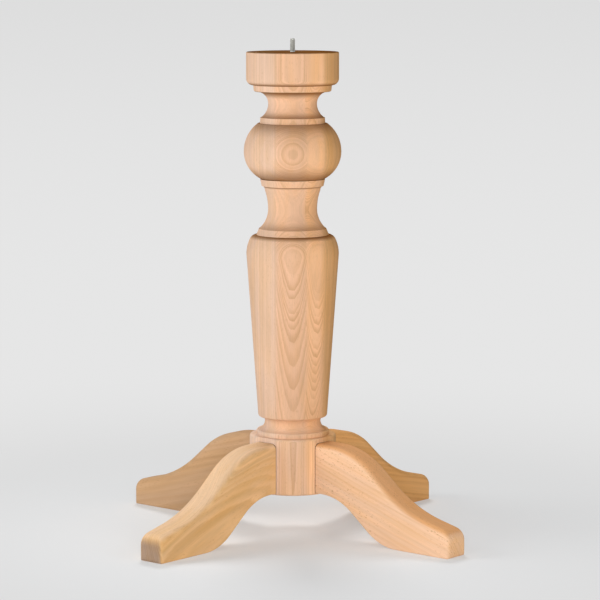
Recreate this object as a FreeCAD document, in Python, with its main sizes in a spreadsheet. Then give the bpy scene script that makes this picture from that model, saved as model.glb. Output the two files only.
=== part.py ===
import FreeCAD, Part
import math
import os
import re

import Sketcher

# Pedestal table base in beech: a turned column on four S-curved legs, with a steel stud in its top.
# Millimetres, +Z up, origin on the floor under the column's axis, the legs on the diagonals.

SIZES = {
    # Column, turned in one piece: radii and heights from its underside up
    "floor_gap": 62.0,
    "block_radius": 65.0,
    "block_height": 80.5,
    "block_bevel": 2.0,
    "block_round": 4.0,
    "band_radius": 54.5,
    "band_height": 4.4,
    "band_round": 2.8,
    "band_step": 0.8,
    "foot_hollow_radius": 41.9,
    "foot_hollow_lower_height": 12.3,
    "foot_hollow_upper_height": 6.8,
    "foot_hollow_depth": 3.0,
    "shaft_foot_radius": 52.0,
    "shaft_foot_round": 3.75,
    "shaft_height": 242.75,
    "shaft_top_radius": 69.25,
    "shoulder_height": 23.0,
    "shoulder_cap": 5.5,
    "shoulder_share": 0.63,
    "shaft_collar_radius": 54.2,
    "shaft_collar_height": 9.3,
    "shaft_collar_lean": 3.8,
    "collar_step": 0.8,
    "neck_radius": 36.6,
    "neck_lower_height": 29.2,
    "neck_upper_height": 28.0,
    "neck_flare": 4.8,
    "neck_cove_height": 6.5,
    "ball_collar_radius": 48.5,
    "ball_collar_height": 10.0,
    "ball_collar_lean": 2.2,
    "ball_foot_radius": 46.5,
    "ball_radius": 72.8,
    "ball_lower_height": 41.5,
    "ball_upper_height": 41.9,
    "ball_top_radius": 51.8,
    "cap_collar_radius": 48.8,
    "cap_collar_height": 8.5,
    "cap_collar_lean": 0.7,
    "hollow_radius": 36.3,
    "hollow_lower_height": 20.6,
    "hollow_upper_height": 18.0,
    "drum_ring_radius": 58.6,
    "drum_ring_height": 7.1,
    "drum_ring_lean": 0.8,
    "drum_ring_round": 2.4,
    "drum_radius": 69.1,
    "drum_round": 10.0,
    "drum_height": 38.2,
    "drum_ease": 1.0,
    # Legs, sawn from plank: corners of the outline before rounding, from the axis and the floor, and the share
    # of the shorter side at each corner that its rounding takes
    "leg_width": 42.0,
    "leg_reach": 313.0,
    "leg_rise": 2.5,
    "leg_drop": 3.0,
    "crown_reach": 131.0,
    "crown_drop": 2.1,
    "crown_share": 0.594,
    "instep_reach": 225.5,
    "instep_height": 58.7,
    "instep_share": 0.532,
    "toe_height": 37.7,
    "toe_share": 0.377,
    "tip_share": 0.106,
    "heel_reach": 186.5,
    "heel_share": 0.293,
    "arch_reach": 105.9,
    "arch_share": 0.718,
    "top_edge_round": 9.0,
    "end_edge_round": 6.0,
    "sole_edge_round": 2.0,
    "butt_bevel": 1.5,
    # Dowels glued into the block and the legs
    "dowel_radius": 6.0,
    "dowel_length": 60.0,
    "dowel_inset": 22.0,
    "dowel_bevel": 1.0,
    "dowel_clearance": 0.1,
    "dowel_end_gap": 0.8,
    # Hanger bolt in the column's top
    "bolt_radius": 4.0,
    "bolt_stand": 20.0,
    "bolt_depth": 45.0,
    "bolt_point": 8.0,
    "bolt_bevel": 1.0,
    "bolt_neck_radius": 3.5,
    "bolt_neck_depth": 4.0,
    "bolt_neck_stand": 1.0,
    "bolt_clearance": 0.1,
    "bolt_end_gap": 0.8,
}

# Each leg stands on the flat that faces its way, in degrees from +X
LEG_TURNS = {"front_left": 225, "front_right": 315, "back_left": 135, "back_right": 45}
FLAT_TURN = 45

# Flats on the block are as wide as the legs, so their distance from the axis follows from both
JOINT_PLANE = "sqrt(block_radius^2 - (leg_width / 2)^2)"
JOINT_BOTTOM = "floor_gap + leg_rise"
JOINT_TOP = "floor_gap + block_height - leg_drop"
DOWEL_LEVELS = {"lower": JOINT_BOTTOM + " + dowel_inset", "upper": JOINT_TOP + " - dowel_inset"}

# Rounding of a leg's edges along the sides of its outline, from the underside round to the joint face
LEG_EDGES = ["sole_edge_round"] * 3 + ["end_edge_round"] + ["top_edge_round"] * 3 + [None]

# Column outline from the edge of its underside to its top: radius, rise from the point before, and for a
# round stretch where its centre lies
COLUMN_STEPS = [
    ("block_radius", "block_bevel", None),
    ("block_radius", "block_height - block_bevel", None),
    ("block_radius - block_round", "block_round", "level with start"),
    ("band_radius", "0", None),
    ("band_radius", "band_height", None),
    ("band_radius - band_round", "band_round", "level with start"),
    ("band_radius - band_round - band_step", "0", None),
    ("foot_hollow_radius", "foot_hollow_lower_height", "level with end"),
    ("foot_hollow_radius + foot_hollow_depth", "foot_hollow_upper_height", "level with start"),
    ("shaft_foot_radius - shaft_foot_round", "0", None),
    ("shaft_foot_radius", "shaft_foot_round", "level with end"),
    ("shaft_top_radius", "shaft_height", None),
    ("shaft_collar_radius + (shaft_top_radius - shaft_collar_radius) * shoulder_share", "shoulder_height",
     "level with start"),
    ("shaft_collar_radius", "shoulder_cap", "plumb with end"),
    ("shaft_collar_radius - shaft_collar_lean", "shaft_collar_height", None),
    ("shaft_collar_radius - shaft_collar_lean - collar_step", "0", None),
    ("neck_radius", "neck_lower_height", "level with end"),
    ("neck_radius + neck_flare", "neck_upper_height", "level with start"),
    ("ball_collar_radius - ball_collar_lean - collar_step", "neck_cove_height", "level with start"),
    ("ball_collar_radius - ball_collar_lean", "0", None),
    ("ball_collar_radius", "ball_collar_height", None),
    ("ball_foot_radius", "0", None),
    ("ball_radius", "ball_lower_height", "level with end"),
    ("ball_top_radius", "ball_upper_height", "level with start"),
    ("cap_collar_radius", "0", None),
    ("cap_collar_radius - cap_collar_lean", "cap_collar_height", None),
    ("cap_collar_radius - cap_collar_lean - collar_step", "0", None),
    ("hollow_radius", "hollow_lower_height", "level with end"),
    ("drum_ring_radius - drum_ring_lean - drum_ring_round - collar_step", "hollow_upper_height",
     "level with start"),
    ("drum_ring_radius - drum_ring_lean - drum_ring_round", "0", None),
    ("drum_ring_radius - drum_ring_lean", "drum_ring_round", "level with end"),
    ("drum_ring_radius", "drum_ring_height", None),
    ("drum_radius - drum_round", "0", None),
    ("drum_radius", "drum_round", "level with end"),
    ("drum_radius", "drum_height", None),
    ("drum_radius - drum_ease", "drum_ease", None),
]
COLUMN_HEIGHT = " + ".join(rise for radius, rise, centre in COLUMN_STEPS if rise != "0")

START, END, CENTRE = 1, 2, 3
ORIGIN = (-1, 1)
UP = FreeCAD.Vector(0, 0, 1)

doc = FreeCAD.newDocument("pedestal_table_base")
sheet = doc.addObject("Spreadsheet::Sheet", "sizes")
for row, (alias, value) in enumerate(SIZES.items(), start=1):
    sheet.set("A%d" % row, alias.replace("_", " "))
    sheet.set("B%d" % row, str(value))
    sheet.setAlias("B%d" % row, alias)
doc.recompute()


def number(text):
    """Present value of an expression in the sheet's names."""
    return float(sheet.evalExpression(text))


def bind(thing, path, text):
    """Tie a property or constraint to an expression in the sheet's names."""
    thing.setExpression(path, re.sub(r"\b[a-z]+(_[a-z]+)+\b", r"sizes.\g<0>", text))


def new_sketch(body, name, role, offset=None):
    """Sketch on one of the body's own planes, moved along the plane's normal by an expression."""
    sketch = body.newObject("Sketcher::SketchObject", name)
    plane = next(item for item in body.Origin.OriginFeatures if item.Role == role)
    sketch.AttachmentSupport = [(plane, "")]
    sketch.MapMode = "FlatFace"
    if offset:
        bind(sketch, "AttachmentOffset.Base.z", offset)
    return sketch


def constrain(sketch, kind, *where, to=None):
    """Add a constraint, bound to an expression where it has a size."""
    if to is None:
        return sketch.addConstraint(Sketcher.Constraint(kind, *where))
    index = sketch.addConstraint(Sketcher.Constraint(kind, *where, number(to)))
    bind(sketch, "Constraints[%d]" % index, to)
    return index


def add_line(sketch, a, b):
    """Line from a to b, with the two ends by which constraints name it."""
    line = sketch.addGeometry(Part.LineSegment(a, b), False)
    return (line, START), (line, END)


def add_arc(sketch, centre, a, b):
    """Shorter arc from a to b about a centre, with its ends in that order."""
    first = math.atan2(a.y - centre.y, a.x - centre.x)
    last = math.atan2(b.y - centre.y, b.x - centre.x)
    forward = (last - first) % (2 * math.pi) < math.pi
    angles = (first, last) if forward else (last, first)
    arc = sketch.addGeometry(Part.ArcOfCircle(Part.Circle(centre, UP, (a - centre).Length), *angles), False)
    return ((arc, START), (arc, END)) if forward else ((arc, END), (arc, START))


def arc_centre(a, b, rule):
    """Centre of an arc from a to b that lies level or plumb with one of its ends."""
    across, along = b.x - a.x, b.y - a.y
    if rule == "level with start":
        return FreeCAD.Vector(a.x + (across ** 2 + along ** 2) / (2 * across), a.y, 0)
    if rule == "level with end":
        return FreeCAD.Vector(b.x - (across ** 2 + along ** 2) / (2 * across), b.y, 0)
    return FreeCAD.Vector(b.x, b.y - (across ** 2 + along ** 2) / (2 * along), 0)


def turned_outline(sketch, first_radius, steps, closing):
    """Half section of a turned piece: out from the axis, up the steps, then back by closing steps."""
    point = FreeCAD.Vector(0, 0, 0)
    end = None
    for radius, rise, rule in [(first_radius, "0", None)] + steps + closing:
        target = FreeCAD.Vector(number(radius), point.y + number(rise), 0)
        if rule:
            near, far = add_arc(sketch, arc_centre(point, target, rule), point, target)
            kind = "Vertical" if rule.startswith("plumb") else "Horizontal"
            constrain(sketch, kind, near[0], CENTRE, *(near if rule.endswith("start") else far))
        else:
            near, far = add_line(sketch, point, target)
        constrain(sketch, "Coincident", *(end or ORIGIN), *near)
        constrain(sketch, "DistanceX", *ORIGIN, *far, to=radius)
        constrain(sketch, "DistanceY", *near, *far, to=rise)
        point, end = target, far
    near, far = add_line(sketch, point, FreeCAD.Vector(0, 0, 0))
    constrain(sketch, "Coincident", *end, *near)
    constrain(sketch, "Coincident", *far, *ORIGIN)


def turn(body, sketch):
    """Solid of revolution of a half section."""
    solid = body.newObject("PartDesign::Revolution", "turning")
    solid.Profile = sketch
    solid.ReferenceAxis = (sketch, ["V_Axis"])
    solid.Angle = 360
    return solid


def apart(a, b):
    """Expression for the distance between two corners."""
    return "sqrt((%s - (%s))^2 + (%s - (%s))^2)" % (a[0], b[0], a[1], b[1])


def rounded_outline(sketch, corners):
    """Closed outline with straight sides: x, y and the share of the shorter side that is rounded, or None.

    Returns its stretches in order, each with the numbers of the sides it joins (twice the same for a side
    itself), its two end points and a point half way along it.
    """
    points = [FreeCAD.Vector(number(x), number(y), 0) for x, y, share in corners]
    setbacks = []
    trimmed = []
    for index, corner in enumerate(corners):
        before, following = corners[index - 1], corners[(index + 1) % len(corners)]
        here = points[index]
        back = (points[index - 1] - here).normalize()
        ahead = (points[(index + 1) % len(points)] - here).normalize()
        setbacks.append("%s * min(%s; %s)" % (corner[2], apart(corner, before), apart(corner, following)))
        if corner[2] is None:
            trimmed.append((here, here, None))
            continue
        reach = number(setbacks[index])
        centre = here + (back + ahead).normalize() * (reach / math.cos(back.getAngle(ahead) / 2))
        trimmed.append((here + back * reach, here + ahead * reach, centre))
    sides = []
    stretches = []
    for index, corner in enumerate(trimmed):
        following = trimmed[(index + 1) % len(trimmed)]
        sides.append(add_line(sketch, corner[1], following[0]))
    for index, (x, y, share) in enumerate(corners):
        into, out = sides[index - 1], sides[index]
        arrive, leave, centre = trimmed[index]
        if share is None:
            constrain(sketch, "Coincident", *into[1], *out[0])
            corner = out[0]
        else:
            near, far = add_arc(sketch, centre, arrive, leave)
            constrain(sketch, "Tangent", *into[1], *near)
            constrain(sketch, "Tangent", *far, *out[0])
            corner = (sketch.addGeometry(Part.Point(points[index]), True), START)
            constrain(sketch, "PointOnObject", *corner, into[0][0])
            constrain(sketch, "PointOnObject", *corner, out[0][0])
            constrain(sketch, "Distance", *corner, *near, to=setbacks[index])
            bulge = centre + (points[index] - centre).normalize() * (arrive - centre).Length
            stretches.append((index - 1, index, arrive, leave, bulge))
        constrain(sketch, "DistanceX", *ORIGIN, *corner, to=x)
        constrain(sketch, "DistanceY", *ORIGIN, *corner, to=y)
        following = trimmed[(index + 1) % len(trimmed)][0]
        stretches.append((index, index, leave, following, (leave + following) / 2))
    return stretches


def add_circle(sketch, level, radius):
    """Circle on the sketch's upright axis."""
    centre = FreeCAD.Vector(0, number(level), 0)
    circle = sketch.addGeometry(Part.Circle(centre, UP, number(radius)), False)
    constrain(sketch, "Radius", circle, to=radius)
    constrain(sketch, "Vertical", *ORIGIN, circle, CENTRE)
    constrain(sketch, "DistanceY", *ORIGIN, circle, CENTRE, to=level)


def round_holes(body, levels, reverse):
    """Blind holes for the dowels, square to the joint plane."""
    sketch = new_sketch(body, "dowel_hole_places", "YZ_Plane", JOINT_PLANE)
    for level in levels:
        add_circle(sketch, level, "dowel_radius + dowel_clearance")
    holes = body.newObject("PartDesign::Pocket", "dowel_holes")
    holes.Profile = sketch
    holes.Reversed = reverse
    bind(holes, "Length", "dowel_length / 2 + dowel_end_gap")
    return holes


def placed(turn_degrees):
    """Turned about the column's axis."""
    return FreeCAD.Placement(FreeCAD.Vector(0, 0, 0), FreeCAD.Rotation(UP, turn_degrees))


def make_column():
    """Turned column with a bore for the bolt, four flats on its block and two dowel holes in each flat."""
    body = doc.addObject("PartDesign::Body", "column")
    outline = new_sketch(body, "column_outline", "XZ_Plane")
    bore = [
        ("bolt_radius + bolt_clearance", "0", None),
        ("bolt_radius + bolt_clearance", "-(bolt_depth + bolt_end_gap)", None),
        ("0", "0", None),
    ]
    turned_outline(outline, "block_radius - block_bevel", COLUMN_STEPS, bore)
    turn(body, outline)
    saw = new_sketch(body, "flat_outline", "XY_Plane")
    far_side = JOINT_PLANE + " + block_radius"
    rounded_outline(saw, [
        (JOINT_PLANE, "-block_radius", None),
        (far_side, "-block_radius", None),
        (far_side, "block_radius", None),
        (JOINT_PLANE, "block_radius", None),
    ])
    flat = body.newObject("PartDesign::Pocket", "flat")
    flat.Profile = saw
    flat.Reversed = True
    bind(flat, "Length", "block_height + block_round + band_height")
    holes = round_holes(body, [level + " - floor_gap" for level in DOWEL_LEVELS.values()], False)
    around = body.newObject("PartDesign::PolarPattern", "four_sides")
    around.Originals = [flat, holes]
    around.Axis = (outline, ["V_Axis"])
    around.Angle = 360
    around.Occurrences = len(LEG_TURNS)
    body.Tip = around
    body.Placement = placed(FLAT_TURN)
    bind(body, "Placement.Base.z", "floor_gap")
    return body


def make_leg(side, turn_degrees):
    """Leg sawn to an S-curve, with rounded top edges that run out over the toe to nearly square ends."""
    blank = doc.addObject("PartDesign::Body", "leg_blank_" + side)
    outline = new_sketch(blank, "leg_outline", "XZ_Plane")
    corners = [
        (JOINT_PLANE, JOINT_BOTTOM, None),
        ("arch_reach", JOINT_BOTTOM, "arch_share"),
        ("heel_reach", "0", "heel_share"),
        ("leg_reach", "0", "tip_share"),
        ("leg_reach", "toe_height", "toe_share"),
        ("instep_reach", "instep_height", "instep_share"),
        ("crown_reach", JOINT_TOP + " - crown_drop", "crown_share"),
        (JOINT_PLANE, JOINT_TOP, None),
    ]
    stretches = rounded_outline(outline, corners)
    plank = blank.newObject("PartDesign::Pad", "plank")
    plank.Profile = outline
    plank.SideType = "Symmetric"
    bind(plank, "Length", "leg_width")
    holes = round_holes(blank, DOWEL_LEVELS.values(), True)
    doc.recompute()
    butt = blank.newObject("PartDesign::Chamfer", "eased_butt")
    butt.Base = (holes, butt_edges(holes.Shape))
    bind(butt, "Size", "butt_bevel")
    doc.recompute()
    leg = doc.addObject("Part::Fillet", "leg_" + side)
    leg.Base = blank
    leg.Edges = rounded_edges(blank.Shape, stretches)
    leg.Placement = placed(turn_degrees)
    return leg


def butt_edges(shape):
    """Upright edges of a leg's butt, beside the block."""
    found = []
    for face in (-number("leg_width") / 2, number("leg_width") / 2):
        place = Part.Vertex(number(JOINT_PLANE), face, number("(%s + %s) / 2" % (JOINT_BOTTOM, JOINT_TOP)))
        gaps = [edge.distToShape(place)[0] for edge in shape.Edges]
        found.append("Edge%d" % (gaps.index(min(gaps)) + 1))
    return found


def rounded_edges(shape, stretches):
    """Edges on both faces of a leg's plank, each with its number and the radii at its two ends."""
    found = []
    for before, after, first, last, middle in stretches:
        if LEG_EDGES[after] is None:
            continue
        rounds = (number(LEG_EDGES[before]), number(LEG_EDGES[after]))
        for face in (-number("leg_width") / 2, number("leg_width") / 2):
            place = Part.Vertex(middle.x, face, middle.y)
            gaps = [edge.distToShape(place)[0] for edge in shape.Edges]
            nearest = gaps.index(min(gaps))
            start = shape.Edges[nearest].Vertexes[0].Point
            to_first = start.distanceToPoint(FreeCAD.Vector(first.x, face, first.y))
            to_last = start.distanceToPoint(FreeCAD.Vector(last.x, face, last.y))
            found.append((nearest + 1, *(rounds if to_first < to_last else rounds[::-1])))
    return found


def make_dowel(side, turn_degrees, place, level):
    """Dowel with bevelled ends, half in the block and half in the leg."""
    body = doc.addObject("PartDesign::Body", "dowel_%s_%s" % (side, place))
    section = new_sketch(body, "dowel_section", "YZ_Plane", JOINT_PLANE)
    add_circle(section, level, "dowel_radius")
    rod = body.newObject("PartDesign::Pad", "rod")
    rod.Profile = section
    rod.SideType = "Symmetric"
    bind(rod, "Length", "dowel_length")
    doc.recompute()
    ends = body.newObject("PartDesign::Chamfer", "ends")
    rims = [i for i, edge in enumerate(rod.Shape.Edges, start=1) if edge.Curve.TypeId == "Part::GeomCircle"]
    ends.Base = (rod, ["Edge%d" % i for i in rims])
    bind(ends, "Size", "dowel_bevel")
    body.Placement = placed(turn_degrees)
    return body


def make_bolt():
    """Hanger bolt: wood-screw end in the column, plain neck, machine-screw end standing out of the top."""
    body = doc.addObject("PartDesign::Body", "hanger_bolt")
    outline = new_sketch(body, "bolt_outline", "XZ_Plane")
    shank = [
        ("bolt_radius", "bolt_point", None),
        ("bolt_radius", "bolt_depth - bolt_point - bolt_neck_depth", None),
        ("bolt_neck_radius", "0", None),
        ("bolt_neck_radius", "bolt_neck_depth + bolt_neck_stand", None),
        ("bolt_radius", "0", None),
        ("bolt_radius", "bolt_stand - bolt_neck_stand - bolt_bevel", None),
        ("bolt_radius - bolt_bevel", "bolt_bevel", None),
    ]
    turned_outline(outline, "bolt_bevel / 2", shank, [("0", "0", None)])
    turn(body, outline)
    bind(body, "Placement.Base.z", "floor_gap + %s - bolt_depth" % COLUMN_HEIGHT)
    return body


pieces = [make_column(), make_bolt()]
for leg_side, leg_turn in LEG_TURNS.items():
    pieces.append(make_leg(leg_side, leg_turn))
    for dowel_place, dowel_level in DOWEL_LEVELS.items():
        pieces.append(make_dowel(leg_side, leg_turn, dowel_place, dowel_level))
doc.recompute()

failed = [item.Name for item in doc.Objects if "Invalid" in item.State or "Error" in item.State]
failed += [piece.Label for piece in pieces if piece.Shape.isNull() or not piece.Shape.isValid()]
if failed:
    raise RuntimeError("failed: " + ", ".join(failed))

os.makedirs("parts", exist_ok=True)
for piece in pieces:
    piece.Shape.exportStep("parts/%s.step" % piece.Label)
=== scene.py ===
from math import cos, radians, sin

import bpy
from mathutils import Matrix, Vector


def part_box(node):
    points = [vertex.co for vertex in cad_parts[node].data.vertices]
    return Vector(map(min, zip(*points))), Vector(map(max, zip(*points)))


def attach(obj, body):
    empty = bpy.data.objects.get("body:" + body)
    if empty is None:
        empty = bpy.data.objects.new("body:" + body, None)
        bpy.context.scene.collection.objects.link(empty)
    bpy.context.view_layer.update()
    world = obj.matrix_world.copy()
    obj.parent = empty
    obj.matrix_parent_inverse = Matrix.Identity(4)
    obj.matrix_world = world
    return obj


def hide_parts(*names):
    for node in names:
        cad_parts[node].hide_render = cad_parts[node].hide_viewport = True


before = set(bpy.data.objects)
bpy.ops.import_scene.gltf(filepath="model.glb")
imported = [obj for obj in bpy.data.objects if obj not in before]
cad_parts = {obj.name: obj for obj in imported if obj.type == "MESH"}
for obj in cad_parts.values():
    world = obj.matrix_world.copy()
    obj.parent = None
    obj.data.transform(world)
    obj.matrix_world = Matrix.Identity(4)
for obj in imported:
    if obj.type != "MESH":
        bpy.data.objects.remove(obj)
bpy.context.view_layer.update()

# Column: a blank glued up from upright beech staves, turned between centres, sanded and left raw.
# Each stave keeps its own growth rings and tone, and the glue lines run straight up through the turning.


class Shade:
    """A socket of a finish; sums and products of these add Math nodes to it."""

    def __init__(self, tree, socket=None):
        self.tree = tree
        self.socket = socket

    def node(self, kind, settings, inputs, output=0):
        """Add a node: its settings first, then a value or a link for each of its sockets."""
        made = self.tree.nodes.new(kind)
        for setting, value in settings.items():
            setattr(made, setting, value)
        for place, value in inputs.items():
            if isinstance(value, Shade):
                self.tree.links.new(value.socket, made.inputs[place])
            else:
                made.inputs[place].default_value = value
        return Shade(self.tree, made.outputs[output])

    def maths(self, operation, first, second=0.0):
        return self.node("ShaderNodeMath", {"operation": operation}, {0: first, 1: second})

    def __add__(self, other):
        return self.maths("ADD", self, other)

    def __radd__(self, other):
        return self.maths("ADD", other, self)

    def __sub__(self, other):
        return self.maths("SUBTRACT", self, other)

    def __rsub__(self, other):
        return self.maths("SUBTRACT", other, self)

    def __mul__(self, other):
        return self.maths("MULTIPLY", self, other)

    def __rmul__(self, other):
        return self.maths("MULTIPLY", other, self)

    def __mod__(self, other):
        return self.maths("FLOORED_MODULO", self, other)

    def __gt__(self, other):
        return self.maths("GREATER_THAN", self, other)

    def ease(self, start, end):
        """Smooth step from 0 at start to 1 at end."""
        span = {"Value": self, "From Min": start, "From Max": end, "To Min": 0, "To Max": 1}
        return self.node("ShaderNodeMapRange", {"interpolation_type": "SMOOTHSTEP"}, span)

    def stretch(self, shape):
        """A place or colour times three numbers."""
        return self.node("ShaderNodeVectorMath", {"operation": "MULTIPLY"}, {0: self, 1: shape})

    def cloud(self, shape, scale, detail):
        """Cloudy noise at a place stretched by three numbers, in lumps to the millimetre."""
        place = {"Vector": self.stretch(shape), "Scale": scale, "Detail": detail}
        return self.node("ShaderNodeTexNoise", {}, place)

    def blend(self, first, second):
        """Colour between two others, with this as the share of the second."""
        return self.node("ShaderNodeMix", {"data_type": "RGBA"}, {0: self, 6: first, 7: second}, 2)

    def feed(self, shader, name):
        """Link this to one of a shader's sockets."""
        self.tree.links.new(self.socket, shader.inputs[name])


def beech(name, turn, fall, boards, end_grain_and_shade_tint, painted_top_shading=(1, 1, 1), rise=0.0, swell=(0, 0), curl=0.0,
          wander=1.8, crisp=0.95, bands=0.25, flecks=0.5, glue_and_shade=None, lathe=0.0, painted_light_heights=None):
    """Raw beech in millimetres and degrees: growth rings, fibres, ray flecks and darker end grain.

    The grain is turned about Z and falls from level, and the stack of boards starts at a rise. Each board
    has its lower edge, the way its rings face, where the last one ends, how wide they are, how many lean
    years crowd them, how far from the pith they show, and the colours of early and late wood. Rings swell
    from a place along the grain by a rate, curl round the pith and wander. A season is darkest at the share
    of it called crisp, and bands of years differ in tone. End grain is darkened by its tint, partly its own
    tone and partly painted shade, and faces turned up take a painted top shading, lighter or darker. Glue
    and painted joint shade darken the wood between two places, the lathe leaves fine ridges, and painted
    light heights give the column's ledge, necks and top face: the end grain's painted shade fades out
    downward from the long neck to the ledge, the base below the lower neck is painted paler, and the top
    face is painted darker.
    """
    fleck_tint, blush_tint = (0.74, 0.66, 0.58), (1.0, 0.96, 0.86)
    # Painted light and shade by height: a paler base and a darker top face.
    painted_base_light, painted_top_face_shade = (1.06, 1.13, 1.21), (1.0, 0.88, 0.66)
    # A deep brown for the glue line and the painted shade in the joint.
    glue_and_joint_shade = (0.16, 0.075, 0.03, 1)
    soft_edge, clear_of_pith = 6.0, 26.0

    finish = bpy.data.materials.new(name)
    finish.use_nodes = True
    shader = finish.node_tree.nodes["Principled BSDF"]
    start = Shade(finish.node_tree)
    place = start.node("ShaderNodeTexCoord", {}, {}, "Object").stretch((1000, 1000, 1000))
    lie = {"Vector": place, "Rotation": (0, radians(fall), radians(turn))}
    lie = start.node("ShaderNodeMapping", {"vector_type": "TEXTURE"}, lie)
    along, across, up = (start.node("ShaderNodeSeparateXYZ", {}, {0: lie}, axis) for axis in "XYZ")
    up = up - rise

    def stepped(measure):
        """A measure of the board that a place lies in."""
        total = boards[0][measure]
        for before, after in zip(boards, boards[1:]):
            total = (up > after["edge"]) * (after[measure] - before[measure]) + total
        return total

    early, late = boards[0]["early"], boards[0]["late"]
    for board in boards[1:]:
        past = up.ease(board["edge"] - soft_edge, board["edge"] + soft_edge)
        early = past.blend(early, board["early"])
        late = past.blend(late, board["late"])

    facing = start.maths("RADIANS", stepped("facing"))
    face_up, face_across = start.maths("SINE", facing), start.maths("COSINE", facing)
    beside = up * face_across - across * face_up
    depth = up * face_up + across * face_across + beside * beside * curl + stepped("ring_end")
    swell_place, swell_rate = swell
    bulge = along - swell_place
    depth = depth + bulge * bulge * swell_rate
    drift = lie.cloud((0.12, 1, 1), 0.03, 1.0) - 0.5
    wave = lie.cloud((0.2, 1, 1), 0.14, 2.0) - 0.5
    depth = depth + drift * wander + wave * (wander * 0.16)
    crowding = depth.ease(5.5, 12.0) * stepped("lean_years")
    years = start.maths("DIVIDE", depth, stepped("ring_width")) + crowding
    season = years % 1.0
    year = start.node("ShaderNodeTexWhiteNoise", {"noise_dimensions": "1D"}, {"W": years - season})
    line = season.ease(0.1, crisp) * (1.0 - season.ease(crisp, 1.0)) * (0.12 + year * 0.88)
    section = lie.stretch((0, 1, 1))
    middle = start.node("ShaderNodeVectorMath", {"operation": "LENGTH"}, {0: section}, "Value")
    pith = stepped("pith")
    line = line * middle.ease(pith, pith + clear_of_pith) * depth.ease(-1.7, -1.0)

    fibre = lie.cloud((0.02, 1, 1), 1.1, 3.0)
    patch = lie.cloud((0.2, 1, 1), 0.035, 2.0)
    blush = lie.cloud((0.15, 1, 1), 0.06, 1.0)
    tide = {"W": depth, "Scale": 0.3, "Detail": 2.0}
    tide = start.node("ShaderNodeTexNoise", {"noise_dimensions": "1D"}, tide)
    fleck = lie.cloud((0.3, 1, 1), 0.75, 0.0).ease(0.66, 0.78) * patch.ease(0.36, 0.56)
    normal = start.node("ShaderNodeTexCoord", {}, {}, "Normal")
    level = cos(radians(fall))
    grain_way = (level * cos(radians(turn)), level * sin(radians(turn)), -sin(radians(fall)))
    ends = {0: normal, 1: grain_way}
    ends = start.node("ShaderNodeVectorMath", {"operation": "DOT_PRODUCT"}, ends, "Value")
    ends = start.maths("ABSOLUTE", ends).ease(0.4, 1.0)
    # The end grain's painted shade fades out downward, from the long neck to the ledge, as painted light on
    # the base.
    if painted_light_heights:
        ends = ends * along.ease(painted_light_heights["ledge"], painted_light_heights["long_neck"])
    # Faces turned up take a painted top shading: lighter where light falls on them, darker where it misses
    # them.
    top = start.node("ShaderNodeSeparateXYZ", {}, {0: normal}, "Z").ease(0.25, 0.85) * (1.0 - ends)

    tone = (line * (1.0 - top * 0.7)).blend(early, late)
    tone = (fleck * flecks).blend(tone, tone.stretch(fleck_tint))
    tone = blush.ease(0.35, 0.75).blend(tone, tone.stretch(blush_tint))
    tone = top.blend(tone, tone.stretch(painted_top_shading))
    # End grain is darkened by this tint: partly the end grain's own tone, partly painted shade.
    tone = ends.blend(tone, tone.stretch(end_grain_and_shade_tint))
    # Painted light and shade by height: the base below the lower neck is painted paler, and the top face is
    # painted darker.
    if painted_light_heights:
        tone = along.ease(painted_light_heights["ledge"], painted_light_heights["lower_neck"]).blend(tone.stretch(painted_base_light), tone)
        top_face_shade = along.ease(painted_light_heights["top_face"] - 0.6, painted_light_heights["top_face"] - 0.1)
        tone = top_face_shade.blend(tone, tone.stretch(painted_top_face_shade))
    # Glue and painted shade: the leg darkens to deep brown in the joint's groove beside the block.
    if glue_and_shade:
        reach = {0: place, 1: (cos(radians(turn)), sin(radians(turn)), 0)}
        reach = start.node("ShaderNodeVectorMath", {"operation": "DOT_PRODUCT"}, reach, "Value")
        tone = reach.ease(*glue_and_shade).blend(glue_and_joint_shade, tone)
    bright = 0.73 - bands * 0.5 + fibre * 0.24 + patch * 0.3 + tide * bands
    tone = start.node("ShaderNodeVectorMath", {"operation": "SCALE"}, {0: tone, "Scale": bright})
    tone.feed(shader, "Base Color")
    shader.inputs["Specular IOR Level"].default_value = 0.0
    shader.inputs["Coat Roughness"].default_value = 0.5
    ((1.0 - ends) * 0.1).feed(shader, "Coat Weight")
    (0.56 + fibre * 0.12 - line * 0.05 + ends * 0.3).feed(shader, "Roughness")
    relief = fibre * 0.7 + line * 0.3 - fleck * 0.3
    if lathe:
        turned = start.node("ShaderNodeTexNoise", {"noise_dimensions": "1D"}, {"W": along, "Scale": 1.5})
        relief = relief + turned * lathe
    bump = {"Strength": 0.15, "Distance": 0.0005, "Height": relief}
    start.node("ShaderNodeBump", {}, bump).feed(shader, "Normal")
    return finish


def dress(node, finish):
    """Give a CAD solid its finish."""
    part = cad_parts[node]
    part.data.materials.clear()
    part.data.materials.append(finish)


staves = [
    dict(edge=-80, facing=-35, ring_end=55, ring_width=1.7, lean_years=0, pith=30,
         early=(0.76, 0.425, 0.19, 1), late=(0.58, 0.3, 0.12, 1)),
    dict(edge=-43, facing=32, ring_end=64.5, ring_width=0.85, lean_years=0, pith=0,
         early=(0.91, 0.535, 0.3, 1), late=(0.735, 0.39, 0.195, 1)),
    dict(edge=-16, facing=-4, ring_end=72.1, ring_width=2.4, lean_years=4, pith=34,
         early=(0.8, 0.495, 0.315, 1), late=(0.65, 0.368, 0.205, 1)),
    dict(edge=29, facing=65, ring_end=40, ring_width=2.1, lean_years=0, pith=34,
         early=(0.765, 0.525, 0.38, 1), late=(0.665, 0.435, 0.295, 1)),
]
# Heights of the column's painted light and shade.
heights = dict(ledge=150.0, lower_neck=166.0, long_neck=460.0, top_face=720.0)
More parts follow.
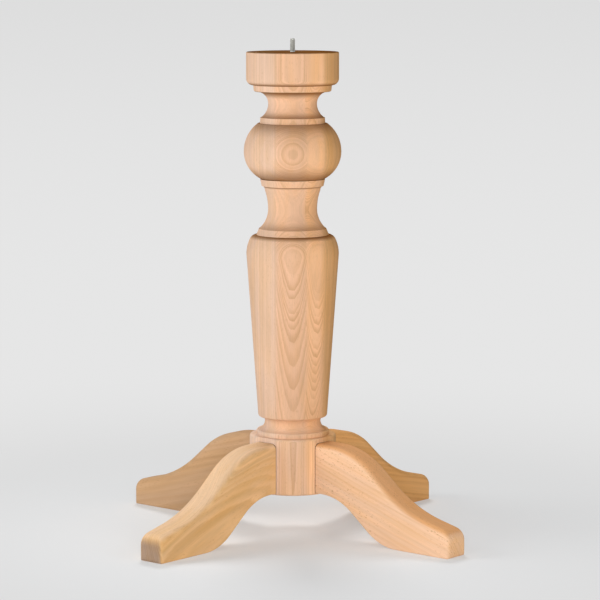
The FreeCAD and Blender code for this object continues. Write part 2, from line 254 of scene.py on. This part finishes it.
# The column's strong end tint is partly painted shade on its faces turned up and down.
dress("column", beech("column_beech", turn=0, fall=-90, boards=staves, end_grain_and_shade_tint=(0.4, 0.32, 0.22),
                      curl=0.0028, flecks=0.3, lathe=0.25, painted_light_heights=heights))

# Legs: sawn from beech plank with the grain along them, their edges rounded over and sanded.
# Each is cut from another board, butted against its flat on the block and glued there on two dowels.

joint = 61.5
# Where the legs darken beside the block: a glue line and painted shade in the joint groove.
glue_and_shade_band = (joint + 0.7, joint + 2.0)
whole_plank = dict(edge=0, lean_years=0, pith=-60)
easy_grain = dict(curl=0.002, wander=9.0, crisp=0.7)
leg_woods = {
    "front_left": dict(
        turn=225, fall=22, rise=98, swell=(203, 0.00033), curl=0.0052, wander=8.0, crisp=0.75,
        # Its top is painted lighter, as painted light.
        end_grain_and_shade_tint=(0.48, 0.53, 0.78), painted_top_shading=(1.04, 1.13, 1.42),
        boards=[dict(whole_plank, facing=0, ring_end=0, ring_width=3.7,
                     early=(0.84, 0.53, 0.265, 1), late=(0.74, 0.435, 0.19, 1))]),
    "front_right": dict(
        easy_grain, turn=315, fall=18, bands=0.1, flecks=0.9,
        # Its top is painted darker, as painted shade.
        end_grain_and_shade_tint=(1.0, 0.95, 0.84), painted_top_shading=(0.87, 0.7, 0.48),
        boards=[dict(whole_plank, facing=12, ring_end=30, ring_width=4.2,
                     early=(0.945, 0.62, 0.41, 1), late=(0.875, 0.55, 0.34, 1))]),
    "back_left": dict(
        easy_grain, turn=135, fall=14, bands=0.12, end_grain_and_shade_tint=(0.6, 0.6, 0.6),
        # Its early and late colours are darker: partly this board's own tone, partly painted shade of a
        # back leg.
        boards=[dict(whole_plank, facing=12, ring_end=18, ring_width=6.0,
                     early=(0.61, 0.39, 0.23, 1), late=(0.56, 0.345, 0.19, 1))]),
    "back_right": dict(
        easy_grain, turn=45, fall=12, bands=0.12, end_grain_and_shade_tint=(0.6, 0.6, 0.6),
        boards=[dict(whole_plank, facing=15, ring_end=9, ring_width=5.0,
                     early=(0.91, 0.49, 0.19, 1), late=(0.8, 0.405, 0.145, 1))]),
}
for side, wood in leg_woods.items():
    dress("leg_" + side, beech("beech_" + side, glue_and_shade=glue_and_shade_band, **wood))

# Dowels: straight-grained beech rods with bevelled ends, two to a leg.
# They are glued half in the block and half in the leg, out of sight.

rod_wood = dict(whole_plank, facing=40, ring_end=5, ring_width=1.6,
                early=(0.8, 0.52, 0.3, 1), late=(0.66, 0.39, 0.2, 1))
for side, wood in leg_woods.items():
    rod = beech("dowel_beech_" + side, turn=wood["turn"], fall=0, boards=[rod_wood],
                end_grain_and_shade_tint=(0.7, 0.62, 0.55))
    dress("dowel_" + side + "_lower", rod)
    dress("dowel_" + side + "_upper", rod)

# Hanger bolt: zinc-plated steel, with a coarse wood-screw thread below and an M8 machine thread above.
# It is driven into the column's top, so that only the machine-screw end stands out.

bpy.ops.object.select_all(action="DESELECT")
bolt_foot, bolt_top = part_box("hanger_bolt")[0][2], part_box("hanger_bolt")[1][2]
point, screw_core, waist, machine_core, tip = 0.0005, 0.0029, 0.0035, 0.0033, 0.0027
bpy.ops.mesh.primitive_circle_add(vertices=36, radius=point, fill_type="NGON", location=(0, 0, bolt_foot))
bolt = bpy.context.object
bolt.name = "threaded_bolt"
bpy.ops.object.transform_apply()
bpy.ops.object.mode_set(mode="EDIT")
bpy.ops.mesh.select_all(action="SELECT")
height, radius = bolt_foot, point
shank = [
    (bolt_foot + 0.008, screw_core), (bolt_foot + 0.040, screw_core),
    (bolt_foot + 0.041, waist), (bolt_foot + 0.046, waist),
    (bolt_foot + 0.0463, machine_core), (bolt_top - 0.0006, machine_core), (bolt_top, tip),
]
for next_height, next_radius in shank:
    bpy.ops.mesh.extrude_region_move(TRANSFORM_OT_translate={"value": (0, 0, next_height - height)})
    grow = next_radius / radius
    bpy.ops.transform.resize(value=(grow, grow, 1), center_override=(0, 0, next_height))
    height, radius = next_height, next_radius
bpy.ops.object.mode_set(mode="OBJECT")

crest = 0.004
threads = [
    dict(first=bolt_foot + 0.0085, pitch=0.003, turns=10, size=0.0008),
    dict(first=bolt_foot + 0.0466, pitch=0.00125, turns=14, size=0.00063),
]
for thread in threads:
    bpy.ops.object.select_all(action="DESELECT")
    bpy.ops.mesh.primitive_circle_add(
        vertices=3, radius=thread["size"], location=(crest - thread["size"], 0, thread["first"]),
        rotation=(radians(90), radians(90), 0))
    ridge = bpy.context.object
    bpy.ops.object.transform_apply()
    winding = ridge.modifiers.new("winding", "SCREW")
    winding.screw_offset = thread["pitch"]
    winding.iterations = thread["turns"]
    winding.steps = winding.render_steps = 30
    bpy.ops.object.modifier_apply(modifier="winding")
    bpy.ops.object.mode_set(mode="EDIT")
    bpy.ops.mesh.select_all(action="SELECT")
    bpy.ops.mesh.fill_holes(sides=3)
    bpy.ops.object.mode_set(mode="OBJECT")
    bolt.select_set(True)
    bpy.context.view_layer.objects.active = bolt
    bpy.ops.object.join()
bpy.ops.object.mode_set(mode="EDIT")
bpy.ops.mesh.select_all(action="SELECT")
bpy.ops.mesh.remove_doubles(threshold=0.000002)
bpy.ops.mesh.normals_make_consistent(inside=False)
bpy.ops.object.mode_set(mode="OBJECT")
bpy.ops.object.shade_smooth_by_angle(angle=radians(35))

zinc = bpy.data.materials.new("zinc_plate")
zinc.use_nodes = True
shader = zinc.node_tree.nodes["Principled BSDF"]
start = Shade(zinc.node_tree)
place = start.node("ShaderNodeTexCoord", {}, {}, "Object").stretch((1000, 1000, 1000))
out = start.node("ShaderNodeVectorMath", {"operation": "LENGTH"}, {0: place.stretch((1, 1, 0))}, "Value")
bloom = place.cloud((1, 1, 1), 0.6, 3.0)
# The zinc is darker toward the thread roots and paler on the crests, by distance from the bolt's axis.
crests = out.ease(3.2, 3.9)
root_colour, crest_colour = (0.33, 0.33, 0.31, 1), (0.78, 0.79, 0.75, 1)
(crests * 0.7 + bloom * 0.3).blend(root_colour, crest_colour).feed(shader, "Base Color")
(0.5 - crests * 0.12 + bloom * 0.15).feed(shader, "Roughness")
scratch = place.cloud((1, 1, 6), 2.0, 2.0)
bump = {"Strength": 0.1, "Distance": 0.0001, "Height": scratch}
start.node("ShaderNodeBump", {}, bump).feed(shader, "Normal")
shader.inputs["Metallic"].default_value = 1.0
bolt.data.materials.append(zinc)
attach(bolt, "root")
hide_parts("hanger_bolt")

# Floor and light: a pale studio floor that runs far back, two near soft lamps in front at about the top's
# height, one farther off in front, one to the left and one behind. They aren't part of the object.

bpy.ops.object.select_all(action="DESELECT")
bpy.ops.mesh.primitive_plane_add(size=160)
floor = bpy.context.object
floor.name = "floor"
paper = bpy.data.materials.new("studio_paper")
paper.use_nodes = True
start = Shade(paper.node_tree)


def seen_plainly(start):
    """1 where the camera, a reflection or clear glass sees the surface, 0 where only its light counts."""
    kinds = ("Camera", "Glossy", "Transmission")
    seen, mirrored, through = (
        start.node("ShaderNodeLightPath", {}, {}, "Is %s Ray" % kind) for kind in kinds)
    return start.maths("MAXIMUM", start.maths("MAXIMUM", seen, mirrored), through)


away = start.node("ShaderNodeTexCoord", {}, {}, "Object")
away = start.node("ShaderNodeVectorMath", {"operation": "LENGTH"}, {0: away}, "Value")
natural_base = 2.718
away = start.maths("LOGARITHM", away, natural_base)
lit = start.node("ShaderNodeBsdfDiffuse", {}, {"Color": (0.6, 0.6, 0.6, 1)})
bounce = start.node("ShaderNodeEmission", {}, {"Color": (0.2, 0.2, 0.2, 1), "Strength": 1.0})
lit = start.node("ShaderNodeAddShader", {}, {0: lit, 1: bounce})
shown = start.node("ShaderNodeBsdfDiffuse", {}, {"Color": (0.99, 1.01, 1.025, 1)})
# The floor's seen glow is painted light and shade: darker around the stand and far off, brightest between.
near, middle, far = (0.72, 0.72, 0.72, 1), (0.79, 0.79, 0.79, 1), (0.73, 0.73, 0.73, 1)
glow = away.ease(-0.6, 0.5).blend(near, middle)
glow = away.ease(1.0, 4.0).blend(glow, far)
glow = start.node("ShaderNodeEmission", {}, {"Color": glow, "Strength": 1.0})
evenness = 0.4 + away.ease(-1.3, -0.2) * 0.6
shown = start.node("ShaderNodeMixShader", {}, {0: evenness, 1: shown, 2: glow})
surface = start.node("ShaderNodeMixShader", {}, {0: seen_plainly(start), 1: lit, 2: shown})
surface.feed(paper.node_tree.nodes["Material Output"], "Surface")
floor.data.materials.append(paper)

studio = bpy.data.worlds.new("studio")
studio.use_nodes = True
start = Shade(studio.node_tree)
dim = start.node("ShaderNodeBackground", {}, {"Color": (1, 1, 1, 1), "Strength": 0.08})
pale = start.node("ShaderNodeBackground", {}, {"Color": (0.8, 0.8, 0.8, 1), "Strength": 1.0})
sky = start.node("ShaderNodeMixShader", {}, {0: seen_plainly(start), 1: dim, 2: pale})
sky.feed(studio.node_tree.nodes["World Output"], "Surface")
bpy.context.scene.world = studio


def softbox(name, azimuth, elevation, distance, size, power):
    """Square soft light aimed at the middle of the column; azimuth 0 is in front and 90 to its right."""
    aim = Vector((0, 0, 0.38))
    right, front = sin(radians(azimuth)), -cos(radians(azimuth))
    level = cos(radians(elevation))
    toward = Vector((right * level, front * level, sin(radians(elevation))))
    lamp = bpy.data.lights.new(name, "AREA")
    lamp.size = size
    lamp.energy = power
    stand = bpy.data.objects.new(name, lamp)
    stand.location = aim + toward * distance
    stand.rotation_euler = toward.to_track_quat("Z", "Y").to_euler()
    bpy.context.scene.collection.objects.link(stand)


softbox("front_left_softbox", azimuth=-28, elevation=21.3, distance=1.02, size=0.5, power=1.65)
softbox("front_right_softbox", azimuth=38, elevation=13, distance=1.15, size=0.5, power=2.8)
softbox("low_softbox", azimuth=-2, elevation=3, distance=2.6, size=0.5, power=22.5)
softbox("side_softbox", azimuth=-86, elevation=12, distance=2.1, size=1.2, power=22)
softbox("back_softbox", azimuth=180, elevation=46, distance=2.4, size=0.8, power=30)

# Camera: a long lens a little above the column's top and a little to the left of the front.
# It looks slightly down on the base and isn't part of the object.

eye = bpy.data.cameras.new("camera")
eye.sensor_width = 36
eye.lens = 162.6
eye.clip_end = 200
camera = bpy.data.objects.new("camera", eye)
look_down, look_right = 7.22, 4.39
camera.location = (-0.298, -4.026, 0.86)
camera.rotation_euler = (radians(90 - look_down), 0, radians(-look_right))
bpy.context.scene.collection.objects.link(camera)
bpy.context.scene.camera = camera
bpy.context.scene.view_settings.view_transform = "Standard"
